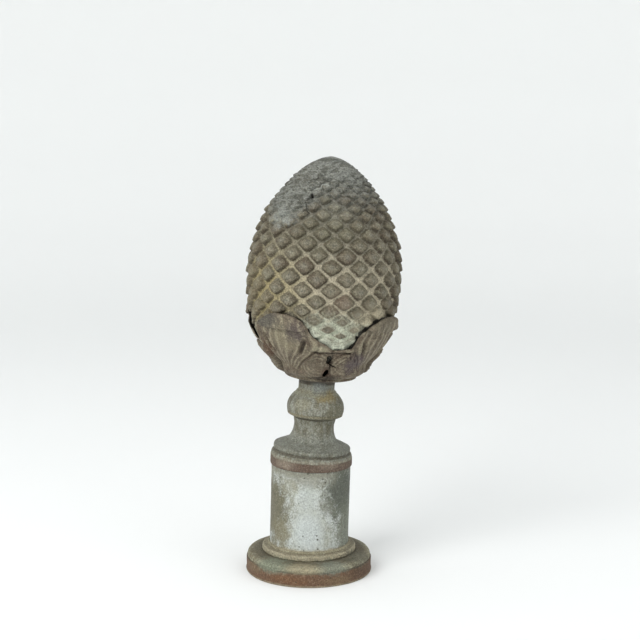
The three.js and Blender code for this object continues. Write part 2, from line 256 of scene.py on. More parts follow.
# Lengths are in mm. Places on the cone are an azimuth in degrees, 0 in front, and a height.
pinecone = {
    "radius": 98.2, "topHeight": 151.4, "bottomHeight": 120, "taper": 1.29, "shoulder": 0.985,
    "flatEnd": 251.9, "endRadius": 17, "scalesPerRing": 17, "firstScale": 16.2,
    "ringSpacing": 14.3, "waistRing": 0.34, "spacingAbove": 0.95, "spacingBelow": 5,
    "lowestRing": -6, "highestRing": 16, "cutsPerScale": 14, "gather": 0.45, "capRows": 14, "endRows": 7,
    "relief": 6.9, "slope": 0.45, "dome": 0.34, "grooveShare": 0.09, "edgeShare": 0.34, "cornerPower": 4.8,
    "wander": 0.05, "sizeScatter": 0.07, "inset": 0.75,
    "crownRadius": (24, 66), "greyRadius": (38, 86), "dustFades": (385, 440), "highDust": 0.45,
    "softBelow": (300, 336), "softRelief": 0.72, "scatter": 0.16,
    "worn": (-52, 472, 46, 36), "wornRelief": 0.5,  # place, and reach round and up
    "dent": (-33, 471, 30, 3.2),  # place, reach and depth
    "hole": ((-21.1, 481.6), (-22.8, 479.4), (-20.4, 477.1), (-21.6, 474), (-24.1, 472.1)),
    "holeWidth": 1.9, "holeDepth": 5,
    "crack": ((-24.1, 472.1), (-25.5, 469.6), (-24.6, 465), (-23.3, 460.5), (-19.1, 456.9)),
    "fork": ((-23.3, 460.5), (-24.8, 454.6)), "crackWidth": 0.55, "crackDepth": 1.6,
    "ridge": ((-20.5, 482.5), (-14.9, 485), (-8.4, 489.5), (-1.8, 488.2)), "ridgeWidth": 2.2,
    "ridgeHeight": 1.3,
    "wrinkle": 0.5, "wrinkleStep": 3.4,
    "crust": ((0.25, 24, 71), (0.16, 7, 72), (0.1, 4, 73)), "highest": 521.4, "seed": 5,
}
eggSink = pinecone["bottomHeight"] * (1 - math.sqrt(1 - (pinecone["endRadius"] / pinecone["radius"]) ** 2))
eggWaist = pinecone["flatEnd"] + pinecone["bottomHeight"] - eggSink


def eggOutline(angle):
    cosine = np.maximum(0, np.cos(angle))
    sine = np.abs(np.sin(angle))
    upper = angle >= 0
    radius = pinecone["radius"] * np.where(upper, cosine ** pinecone["taper"], cosine)
    rise = pinecone["topHeight"] * sine ** pinecone["shoulder"]
    return radius, eggWaist + np.where(upper, rise, -pinecone["bottomHeight"] * sine)


# The rings of scales crowd together towards the crown and towards the foot.
def ringTable():
    angles = np.linspace(-1.35, 1.5, 4000)
    radius, height = eggOutline(angles)
    step = np.hypot(np.diff(radius), np.diff(height))
    middle = (radius[1:] + radius[:-1]) / 2 / pinecone["radius"]
    power = np.where(angles[1:] > 0, pinecone["spacingAbove"], pinecone["spacingBelow"])
    rings = np.concatenate(([0], np.cumsum(step / (pinecone["ringSpacing"] * middle ** power))))
    return angles, rings - np.interp(0, angles, rings) + pinecone["waistRing"]


eggAngles, eggRings = ringTable()


def distanceToPath(azimuth, height, radius, path):
    nearest = np.full(len(azimuth), 1e3)
    for here, there in zip(path, path[1:]):
        start = np.column_stack((np.radians(azimuth - here[0]) * radius, height - here[1]))
        roundwards = np.radians(there[0] - here[0]) * radius
        span = np.column_stack((roundwards, np.full(len(radius), there[1] - here[1])))
        share = np.clip((start * span).sum(axis=1) / (span * span).sum(axis=1), 0, 1)
        nearest = np.minimum(nearest, np.linalg.norm(start - span * share[:, None], axis=1))
    return nearest


def scaleLattice():
    low, high = pinecone["lowestRing"], pinecone["highestRing"]
    deselectAll()
    bpy.ops.mesh.primitive_cylinder_add(
        vertices=pinecone["scalesPerRing"], radius=1, depth=high - low, end_fill_type="NOTHING",
        location=(0, 0, (high + low) / 2))
    piece = bpy.context.object
    piece.name = "pineconeScales"
    bpy.ops.object.transform_apply(location=True, rotation=False, scale=False)
    editAll(piece)
    selectEdges(piece, lambda a, b: abs(a.z - b.z) > 1)
    bpy.ops.mesh.subdivide(number_cuts=(high - low) // 2 - 1)
    bpy.ops.mesh.select_all(action="SELECT")
    bpy.ops.mesh.poke()
    # poked and without its old edges, the sheet is a net of diamonds
    isCorner = lambda place: abs((place.z - low) / 2 - round((place.z - low) / 2)) < 0.1
    isEnd = lambda a, b: abs(a.z - b.z) < 0.1 and (a.z > high - 0.1 or a.z < low + 0.1)
    selectEdges(piece, lambda a, b: isCorner(a) and isCorner(b) and not isEnd(a, b))
    bpy.ops.mesh.dissolve_edges(use_verts=False)
    bpy.ops.mesh.select_all(action="SELECT")
    bpy.ops.mesh.subdivide(number_cuts=pinecone["cutsPerScale"])
    # plain rows close the crown and the foot
    for edge, way, rows in ((high, 1, pinecone["capRows"]), (low, -1, pinecone["endRows"] + 1)):
        selectEdges(piece, lambda a, b: abs(a.z - edge) < 1e-4 and abs(b.z - edge) < 1e-4)
        for row in range(rows):
            bpy.ops.mesh.extrude_region_move(TRANSFORM_OT_translate={"value": (0, 0, way)})
        bpy.ops.mesh.merge(type="CENTER")
    bpy.ops.object.mode_set(mode="OBJECT")
    return piece


def shapeCone(piece):
    low, high = pinecone["lowestRing"], pinecone["highestRing"]
    points = readPoints(piece)
    turn = 360 / pinecone["scalesPerRing"]
    start = math.degrees(math.atan2(points[0, 0], -points[0, 1]))
    column = (np.degrees(np.arctan2(points[:, 0], -points[:, 1])) - start) / turn
    ring = points[:, 2]
    inner = np.clip(ring, low, high)
    # the cuts gather at the grooves, where the shape turns fastest
    gathered = lambda cell: cell - pinecone["gather"] * np.sin(2 * math.pi * cell) / (2 * math.pi)
    rising, falling = gathered(column + inner / 2), gathered(column - inner / 2)
    column = (rising + falling) / 2
    ring = ring - inner + rising - falling
    inner = np.clip(ring, low, high)
    angle = np.interp(inner, eggRings, eggAngles)
    radius, height = eggOutline(angle)
    capShare = np.clip((ring - high) / pinecone["capRows"], 0, 1)
    capRadius = radius * (1 - capShare)
    capAngle = np.arccos(np.clip((capRadius / pinecone["radius"]) ** (1 / pinecone["taper"]), 0, 1))
    isCap = ring > high
    endShare = np.clip((low - ring) / pinecone["endRows"], 0, 1)
    endHeight = blend(height, pinecone["flatEnd"], endShare)
    endAngle = -np.arcsin(np.clip((eggWaist - endHeight) / pinecone["bottomHeight"], 0, 1))
    angle = np.where(isCap, capAngle, np.where(ring < low, endAngle, angle))
    radius, height = eggOutline(angle)
    isPole = (ring < low - pinecone["endRows"] - 0.5) | (ring > high + pinecone["capRows"] - 0.5)
    radius = np.where(isPole, 0, radius)
    height = np.where(isPole & (ring < low), pinecone["flatEnd"], height)
    azimuth = pinecone["firstScale"] + column * turn
    azimuth = (azimuth + 180) % 360 - 180

    # places inside each scale: grooves lie where across or along is whole, and wander a little
    turned = np.radians(azimuth)
    places = np.column_stack((radius * np.sin(turned), -radius * np.cos(turned), height)) * mm
    across = column + ring / 2 + pinecone["wander"] * uneven(places, 45, 61)
    along = column - ring / 2 + pinecone["wander"] * uneven(places, 45, 62)
    acrossPart = across - np.floor(across) - 0.5
    alongPart = along - np.floor(along) - 0.5
    upward = acrossPart - alongPart
    power = pinecone["cornerPower"]
    fromCentre = (np.abs(2 * acrossPart) ** power + np.abs(2 * alongPart) ** power) ** (1 / power)
    chance = np.random.default_rng(pinecone["seed"])
    table = chance.uniform(-1, 1, (64, 2 * pinecone["scalesPerRing"], 3))
    ringIndex = np.clip(np.round(np.floor(across) - np.floor(along)).astype(int) + 20, 0, 63)
    turnIndex = np.round(np.floor(across) + np.floor(along)).astype(int) % (2 * pinecone["scalesPerRing"])
    luck = table[ringIndex, turnIndex]
    fromCentre = fromCentre + pinecone["sizeScatter"] * luck[:, 2]
    padEdge = 1 - pinecone["grooveShare"]
    pad = 1 - smoothShare(fromCentre, padEdge - pinecone["edgeShare"], padEdge)

    crown = smoothShare(radius, *pinecone["crownRadius"])
    soft = smoothShare(height, *pinecone["softBelow"])
    wornAzimuth, wornHeight, wornWide, wornTall = pinecone["worn"]
    wornAway = np.hypot((azimuth - wornAzimuth) / wornWide, (height - wornHeight) / wornTall)
    worn = 1 - smoothShare(wornAway, 0.25, 1)
    relief = pinecone["relief"] * crown * blend(pinecone["softRelief"], 1, soft)
    relief = relief * (1 - pinecone["wornRelief"] * worn) * (1 + pinecone["scatter"] * luck[:, 0])
    top = (1 - pinecone["slope"] * (upward + 0.35)) * (1 - pinecone["dome"] * fromCentre ** 2)
    top = top + pinecone["scatter"] * luck[:, 1] * (acrossPart + alongPart)
    sunk = pinecone["relief"] * crown * blend(0.5, 1, soft) * (1 - 0.45 * worn) - relief * pad * top
    dentAzimuth, dentHeight, dentReach, dentDepth = pinecone["dent"]
    dentAway = np.hypot(np.radians(azimuth - dentAzimuth) * radius, height - dentHeight) / dentReach
    sunk = sunk + dentDepth * (1 - smoothShare(dentAway, 0, 1))

    holeAway = distanceToPath(azimuth, height, radius, pinecone["hole"])
    crackAway = np.minimum(
        distanceToPath(azimuth, height, radius, pinecone["crack"]),
        distanceToPath(azimuth, height, radius, pinecone["fork"]))
    ridgeAway = distanceToPath(azimuth, height, radius, pinecone["ridge"])
    hole = 1 - smoothShare(holeAway, pinecone["holeWidth"] - 0.7, pinecone["holeWidth"])
    crack = 1 - smoothShare(crackAway, pinecone["crackWidth"] - 0.5, pinecone["crackWidth"] + 0.3)
    ridge = 1 - smoothShare(ridgeAway, 0.2, pinecone["ridgeWidth"])
    sunk = sunk + pinecone["holeDepth"] * hole + pinecone["crackDepth"] * crack * (1 - hole)
    sunk = sunk - pinecone["ridgeHeight"] * ridge * (1 - hole)
    # the bare crown is wrinkled, and all of the cone is rough with corrosion
    sway = height + 2.4 * uneven(places, 26, 63)
    wrinkle = np.sin(2 * math.pi * sway / pinecone["wrinkleStep"]) * uneven(places, 30, 64)
    sunk = sunk + pinecone["wrinkle"] * wrinkle * (1 - crown) * smoothShare(radius, 3, 14)
    sunk = sunk + pinecone["inset"]

    spread = np.where(height > eggWaist, pinecone["topHeight"], pinecone["bottomHeight"])
    outward = np.column_stack((radius / pinecone["radius"] ** 2, (height - eggWaist) / spread ** 2))
    outward /= np.maximum(np.linalg.norm(outward, axis=1), 1e-9)[:, None]
    isEnd = ring < low - pinecone["endRows"] + 0.5
    sunk = np.where(isEnd, 0, sunk)
    radius = np.maximum(0, radius - sunk * outward[:, 0])
    height = height - sunk * outward[:, 1]
    points = np.column_stack((radius * np.sin(turned), -radius * np.cos(turned), height)) * mm
    rough = np.where(isEnd, 0, crust(points, pinecone["crust"])) * smoothShare(radius, 0.5, 5)
    points[:, 0] += rough * mm * outward[:, 0] * np.sin(turned)
    points[:, 1] -= rough * mm * outward[:, 0] * np.cos(turned)
    points[:, 2] += rough * mm * outward[:, 1]
    points[:, 2] = np.minimum(points[:, 2], pinecone["highest"] * mm)
    writePoints(piece, leaned(points))
    writeAttribute(piece, "fromPadCentre", fromCentre)
    fading = blend(1, pinecone["highDust"], smoothShare(height, *pinecone["dustFades"]))
    writeAttribute(piece, "dust", np.clip(crown * blend(0.75, 1, soft) * (1 - 0.6 * worn) * fading, 0, 1))
    writeAttribute(piece, "padTone", luck[:, 2])
    # pad edges darkened: a dirt ring all round, with painted shade heavier on each pad's lower side
    underside = blend(0.35, 1, smoothShare(-upward, -0.35, 0.35))
    writeAttribute(piece, "padDirtAndShade", smoothShare(fromCentre, 0.5, 0.8) * underside)
    bare = np.clip(1 - smoothShare(radius, *pinecone["greyRadius"]) + 0.9 * worn, 0, 1)
    writeAttribute(piece, "crownWear", bare)
    # painted shade: the hole and the cracks are painted near-black, as the dark inside of the cone
    writeAttribute(piece, "tornShade", np.clip(hole + crack, 0, 1))
    writeAttribute(piece, "ridge", ridge)
    return azimuth, height


conePiece = scaleLattice()
coneAzimuth, coneHeight = shapeCone(conePiece)
print("shaped the pinecone", len(conePiece.data.polygons), "faces")


# Leaf cup

calyx = {
    "columns": 480, "rows": 90, "wallShare": 0.82, "foot": 244.2, "sheet": 1.2,
    "leafAzimuth": -32, "leafSpan": 90, "clearance": 4, "bulge": 24, "bulgeStart": 4, "bulgeEnd": 28,
    "aside": 4.2, "asideFade": 45,
    # rim heights above the foot by degrees from a leaf's middle
    "rim": (
        (-45, 48.5), (-40, 49.3), (-31.5, 51), (-28.5, 56), (-27, 66), (-25, 72), (-21, 75.5), (-16, 81),
        (-10, 86), (-4, 89.4), (6, 89.6), (12, 87), (17, 83), (20.5, 76.5), (23.3, 71), (25.5, 66), (32, 59),
        (37, 55.6), (43, 49.6), (45, 48.5),
    ),
    "foldRise": (72.8, 73.4, 72, 74),  # per leaf: all above it is turned over outwards
    "foldSoft": 6, "curl": 1.7, "foldStandOff": 3, "foldPuff": 1.4, "underFold": 2.4,
    "axisFoot": (-9, 13, 4, -5), "axisTip": (4, -1, 1, 0), "flare": (0, 0, 1, 1.1),
    "fanFoot": 14, "fanTip": 25, "fanTop": 60, "fanColumns": 20,
    "grooves": (0.14, 0.42, 0.7, 1.0), "ribHeights": (2.6, 1.5, 1.9, 1.6),
    "ribSway": 0.09, "fanSink": 0.8, "fanStart": (3, 22), "edgeDepth": 0.9, "edgeStart": (5, 18),
    "besideHeight": 1.4, "besideStart": (8, 22),
    "lobeAngle": 30, "lobeRise": 28.5, "lobeReach": 17, "lobeHeight": 6.2, "coinReach": 8.5,
    "arcStep": 4.2, "arcDepth": 1.4, "arcsFade": (20, 24), "arcsStart": (4, 12), "arcsEnd": (45, 47),
    "eyeAngle": 17, "eyeRise": 51, "eyeLength": 9.5, "eyeWidth": 2.7, "eyeDepth": 4.5, "eyeLean": 0.42,
    "lipsHeight": 1.7, "seamDepth": 2.4, "lipRise": 46.5, "lipProud": 1, "lipLineDepth": 1.3, "rimClose": 2,
    # holes and rents: the azimuth and rise of the points on a path, and how far they reach from it
    "tears": (
        ((9.8, 38.5), (9.8, 34), 3.5), ((11, 31.5), (14, 28.5), (19, 26.4), 0.9),
        ((10.2, 20), (8.4, 15.5), 3.2),
    ),
    "seatRadius": 16.5, "seatFoot": 245.4, "seatTop": 251.6, "crust": ((0.35, 26, 81), (0.12, 8, 82)),
}


def cupRadius(azimuth, height):
    rise = height - calyx["foot"]
    share = np.clip((eggWaist - height) / pinecone["bottomHeight"], 0, 1)
    inside = np.maximum(pinecone["endRadius"], pinecone["radius"] * np.sqrt(1 - share ** 2))
    footShare = smoothShare(rise, -2, 6)
    bulge = calyx["bulge"] * footShare * (1 - smoothShare(rise, calyx["bulgeStart"], calyx["bulgeEnd"]))
    aside = calyx["aside"] * np.sin(np.radians(azimuth)) * (1 - smoothShare(rise, 0, calyx["asideFade"]))
    return inside + calyx["clearance"] + bulge + aside


def leafPlace(azimuth):
    turned = (azimuth - calyx["leafAzimuth"] + calyx["leafSpan"] / 2) % 360
    leaf = np.clip(np.floor(turned / calyx["leafSpan"]).astype(int), 0, 3)
    return leaf, turned - leaf * calyx["leafSpan"] - calyx["leafSpan"] / 2


def rimRise(offset):
    return np.interp(offset, *np.array(calyx["rim"]).T)


# A leaf's middle line leans, and its fan of ribs widens from the foot to the tip.
def leafFan(leaf, rise):
    climb = smoothShare(rise, 8, calyx["fanTop"])
    axis = blend(np.array(calyx["axisFoot"])[leaf], np.array(calyx["axisTip"])[leaf], climb)
    return axis, blend(calyx["fanFoot"], calyx["fanTip"], climb)


# Gives how far the carving stands proud of the cup, and its share of hollow, darkened by dirt and painted
# shade, and of crest.
def leafCarving(azimuth, leaf, offset, height, rim):
    rise = height - calyx["foot"]
    away = np.abs(offset)
    radius = cupRadius(azimuth, height)
    arc = lambda degrees: radius * np.radians(degrees)
    axis, fanHalf = leafFan(leaf, rise)
    sway = calyx["ribSway"] * np.sin(rise / 9 + 2 * leaf) * (offset > axis)
    sway = sway + calyx["ribSway"] * np.sin(rise / 12 + leaf)
    place = np.abs(offset - axis) / fanHalf + sway * smoothShare(np.abs(offset - axis) / fanHalf, 0, 0.3)
    # rounded ribs with a sharp groove between them
    fan = np.zeros(len(rise))
    ribTop = np.zeros(len(rise))
    inner = -calyx["grooves"][0]
    for outer, ribHeight in zip(calyx["grooves"], calyx["ribHeights"]):
        share = np.clip((place - inner) / (outer - inner), 0, 1)
        rib = np.sqrt(np.clip(4 * share * (1 - share), 0, 1)) * ((place >= inner) & (place < outer))
        fan += ribHeight * rib
        ribTop += rib
        inner = outer
    fanStart = smoothShare(rise, *calyx["fanStart"])
    fan = (fan - calyx["fanSink"] * (place < 1)) * fanStart
    fanEdge = bell((place - 1.03) * arc(fanHalf), 1.6) * smoothShare(rise, *calyx["edgeStart"])
    beside = bell((place - 1.16) * arc(fanHalf), 1.8) * smoothShare(rise, *calyx["besideStart"])
    # round lobes on both sides of each seam, with raised arcs
    lobeAway = np.hypot(arc(away - calyx["lobeAngle"]), rise - calyx["lobeRise"])
    outside = smoothShare(place, 1.0, 1.12)
    lobe = calyx["lobeHeight"] * np.sqrt(np.clip(1 - (lobeAway / calyx["lobeReach"]) ** 2, 0, 1)) * outside
    wave = np.abs(np.sin(math.pi * (lobeAway - calyx["coinReach"]) / calyx["arcStep"])) ** 0.6
    arcs = calyx["arcDepth"] * (1 - wave) * (lobeAway > calyx["coinReach"] - 1) * outside
    arcs = arcs * (1 - smoothShare(lobeAway, *calyx["arcsFade"]))
    arcs = arcs * smoothShare(rise, *calyx["arcsStart"]) * (1 - smoothShare(rise, *calyx["arcsEnd"]))
    # slots between the fan and the side leaf
    slotAlong = rise - calyx["eyeRise"]
    slotAcross = arc(away - calyx["eyeAngle"]) - slotAlong * calyx["eyeLean"]
    slot = np.exp(-(slotAcross / calyx["eyeWidth"]) ** 4 - (slotAlong / calyx["eyeLength"]) ** 4)
    lips = np.exp(-((np.abs(slotAcross) - calyx["eyeWidth"] - 1.6) / 1.3) ** 2 - (slotAlong / 11) ** 4)
    lips += 0.7 * np.exp(-((slotAcross - calyx["eyeWidth"] - 5.4) / 1.1) ** 2 - (slotAlong / 9) ** 4)
    seam = calyx["seamDepth"] * bell(arc(45 - away), 2) * smoothShare(rise, 0, 10)
    # plain lip along the open rim
    below = rim - rise
    openRim = smoothShare(away, 24, 29)
    lip = calyx["lipProud"] * smoothShare(rise, calyx["lipRise"] - 0.5, calyx["lipRise"] + 1.5) * openRim
    lipLine = calyx["lipLineDepth"] * bell(rise - calyx["lipRise"] + 1, 1.2) * openRim
    close = calyx["rimClose"] * (1 - smoothShare(below, 0, 14)) * smoothShare(away, 30, 36)
    foldShare = smoothShare(rim - np.array(calyx["foldRise"])[leaf], 0, calyx["foldSoft"])
    close = close + calyx["underFold"] * foldShare * (1 - smoothShare(below, 14, 26))
    flare = np.array(calyx["flare"])[leaf] * smoothShare(rise, 45, 85)
    body = fan * (1 - slot) * (1 - 0.5 * foldShare) - calyx["edgeDepth"] * fanEdge
    body = body + calyx["besideHeight"] * beside * (1 - slot) + lobe - arcs
    proud = body - calyx["eyeDepth"] * slot + calyx["lipsHeight"] * lips - seam
    proud = proud + lip - lipLine - close + flare
    # the hollows get dirt and painted shade: grooves, slots, seam, arcs and lip line
    hollowDirtAndShade = smoothShare(1 - ribTop, 0.25, 0.9) * (place < 1) * fanStart * 0.6
    hollowDirtAndShade = np.maximum(hollowDirtAndShade, np.maximum(0.6 * fanEdge, 0.45 * arcs / calyx["arcDepth"]))
    hollowDirtAndShade = np.maximum(hollowDirtAndShade, np.maximum(slot, 0.7 * seam / calyx["seamDepth"]))
    # painted shade: the bell at the foot darkens the underside of the cup
    hollowDirtAndShade = np.maximum(hollowDirtAndShade, np.maximum(0.8 * lipLine, 0.9 * bell(rise, 4)))
    crest = np.maximum(smoothShare(ribTop, 0.86, 1) * smoothShare(rise, 14, 30), 0.8 * lips) * (1 - slot)
    crest = np.maximum(crest, np.maximum(lip, smoothShare(wave, 0.8, 1) * (arcs > 0) * 0.55))
    return proud, hollowDirtAndShade, np.clip(crest * (1 - 0.8 * hollowDirtAndShade), 0, 1)


def makeCalyx():
    deselectAll()
    bpy.ops.mesh.primitive_grid_add(x_subdivisions=calyx["columns"], y_subdivisions=calyx["rows"], size=1)
    piece = bpy.context.object
    piece.name = "calyxLeaves"
    points = readPoints(piece)
    share = points[:, 1] + 0.5
    leaf, column = leafPlace(360 * points[:, 0] + calyx["leafAzimuth"])
    climb = np.clip(share / calyx["wallShare"], 0, 1)
    # the columns follow the fan of ribs
    axis, fanHalf = leafFan(leaf, climb * rimRise(column))
    middle = calyx["fanColumns"]
    edge = axis + np.sign(column) * 1.1 * fanHalf
    outer = np.clip((np.abs(column) - middle) / (45 - middle), 0, 1)
    inFan = axis + column / middle * 1.1 * fanHalf
    offset = np.where(np.abs(column) <= middle, inFan, blend(edge, 45 * np.sign(column), outer))
    azimuth = calyx["leafAzimuth"] + leaf * calyx["leafSpan"] + offset
    rim = rimRise(offset)
    # from the rim the sheet turns over outwards and hangs down as a fold
    foldRise = np.array(calyx["foldRise"])[leaf]
    fold = smoothShare(rim - foldRise, 0, calyx["foldSoft"])
    curl = calyx["curl"]
    height = calyx["foot"] + blend(0, rim - curl * fold, climb)
    radius = cupRadius(azimuth, height) + leafCarving(azimuth, leaf, offset, height, rim)[0]
    over = np.clip((share - calyx["wallShare"]) / (1 - calyx["wallShare"]), 0, 1)
    turn = math.pi * fold * np.clip(over / 0.4, 0, 1)
    drop = np.clip((over - 0.4) / 0.6, 0, 1)
    curled = over > 0
    radius = np.where(curled, radius + curl * (1 - np.cos(turn)), radius)
    height = np.where(curled, height + curl * np.sin(turn), height)
    length = 0.5 + np.maximum(0, rim - foldRise - curl) * fold
    height = height + np.where(curled, np.cos(math.pi * fold) * length * drop, 0)
    standEnd = calyx["foldStandOff"] - calyx["underFold"] * (1 - drop)
    stand = blend(2 * curl - calyx["underFold"], standEnd, drop)
    hangs = cupRadius(azimuth, height) + stand + calyx["foldPuff"] * np.sin(math.pi * drop)
    radius = np.where(curled, blend(radius, hangs, fold * smoothShare(drop, 0, 0.3)), radius)
    turned = np.radians(azimuth)
    points = np.column_stack((radius * np.sin(turned), -radius * np.cos(turned), height)) * mm
    worn = crust(points, calyx["crust"]) * mm
    points += worn[:, None] * np.column_stack((np.sin(turned), -np.cos(turned), np.zeros(len(turned))))
    points[:, 2] = np.where(share < 1e-4, calyx["foot"] * mm, points[:, 2])
    writePoints(piece, points)
    tearFaces(piece)
    editAll(piece)
    bpy.ops.mesh.remove_doubles(threshold=0.004 * mm)
    # the foot is closed by a flat sheet with a small plate in its middle
    low = (calyx["foot"] + 0.01) * mm
    selectEdges(piece, lambda a, b: a.z < low and b.z < low)
    bpy.ops.mesh.extrude_region_move(TRANSFORM_OT_translate={"value": (0, 0, 0)})
    bpy.ops.transform.resize(value=(0.4, 0.4, 1), center_override=(0, 0, 0))
    bpy.ops.mesh.edge_face_add()
    bpy.ops.object.mode_set(mode="OBJECT")
    deselectAll()
    piece.select_set(True)
    bpy.context.view_layer.objects.active = piece
    wall = piece.modifiers.new("wall", "SOLIDIFY")
    wall.thickness = calyx["sheet"] * mm
    wall.offset = -1
    bpy.ops.object.modifier_apply(modifier="wall")
    # what the finish needs to know of each point
    normals = np.empty(len(piece.data.vertices) * 3)
    piece.data.vertices.foreach_get("normal", normals)
    normals = normals.reshape(-1, 3)
    points = readPoints(piece)
    outwards = normals[:, 0] * points[:, 0] + normals[:, 1] * points[:, 1]
    outwards /= np.maximum(np.hypot(points[:, 0], points[:, 1]), 1e-6)
    away = np.hypot(points[:, 0], points[:, 1]) / mm
    azimuth = np.degrees(np.arctan2(points[:, 0], -points[:, 1]))
    height = points[:, 2] / mm
    proud = away - cupRadius(azimuth, height)
    # painted shade: the inner face of the cup is marked to be painted near-black
    writeAttribute(piece, "inside", smoothShare(-outwards, 0.1, 0.6) * (proud < 1))
    leaf, offset = leafPlace(azimuth)
    rim = rimRise(offset)
    isWall = (outwards > 0) & (height - calyx["foot"] < rim - 3)
    hollowDirtAndShade, crest = leafCarving(azimuth, leaf, offset, height, rim)[1:]
    writeAttribute(piece, "hollowDirtAndShade", np.where(isWall, hollowDirtAndShade, 0))
    writeAttribute(piece, "crest", np.where(isWall, crest, 0.25))
    writePoints(piece, leaned(points))
    addSeat(piece)
    return piece


# A boss of solder inside the cup carries the cone.
def addSeat(piece):
    deselectAll()
    bpy.ops.mesh.primitive_cylinder_add(
        vertices=48, radius=calyx["seatRadius"] * mm, depth=(calyx["seatTop"] - calyx["seatFoot"]) * mm,
        location=(0, 0, (calyx["seatTop"] + calyx["seatFoot"]) / 2 * mm))
    seat = bpy.context.object
    bpy.ops.object.transform_apply(location=True, rotation=False, scale=False)
    editAll(seat)
    bpy.ops.mesh.bevel(offset=0.8 * mm, segments=3)
    bpy.ops.object.mode_set(mode="OBJECT")
    writePoints(seat, leaned(readPoints(seat)))
    piece.select_set(True)
    bpy.context.view_layer.objects.active = piece
    bpy.ops.object.join()


# The sheet is torn through beside the front seam.
def tearFaces(piece):
    editAll(piece)
    bpy.ops.mesh.select_mode(type="FACE")
    bpy.ops.mesh.select_all(action="DESELECT")
    shape = bmesh.from_edit_mesh(piece.data)
    shape.faces.ensure_lookup_table()
    centres = np.array([face.calc_center_median() for face in shape.faces])
    azimuth = np.degrees(np.arctan2(centres[:, 0], -centres[:, 1]))
    rise = centres[:, 2] / mm - calyx["foot"]
    radius = np.hypot(centres[:, 0], centres[:, 1]) / mm
    for *path, width in calyx["tears"]:
        near = distanceToPath(azimuth, rise, radius, path) < width
        for index in np.nonzero(near & (np.abs(azimuth) < 60))[0]:
            shape.faces[index].select_set(True)
    bmesh.update_edit_mesh(piece.data)
    bpy.ops.mesh.delete(type="FACE")
    bpy.ops.object.mode_set(mode="OBJECT")


calyxPiece = makeCalyx()
coneRim = calyx["foot"] + rimRise(leafPlace(coneAzimuth)[1])
writeAttribute(conePiece, "aboveRim", coneHeight - coneRim)
print("folded the leaf cup", len(calyxPiece.data.polygons), "faces")


# Finishes. Weathered zinc is matt: a chalky grey carbonate skin with lime, soot and earth in the hollows.
# Some of the colour is painted shade and painted highlight.

# A point on the leaned stack, in metres, by azimuth, radius and height before the lean.
def stackPoint(azimuth, radius, height):
    turned = math.radians(azimuth)
    return leaned(np.array([[radius * math.sin(turned), -radius * math.cos(turned), height]]) * mm)[0]


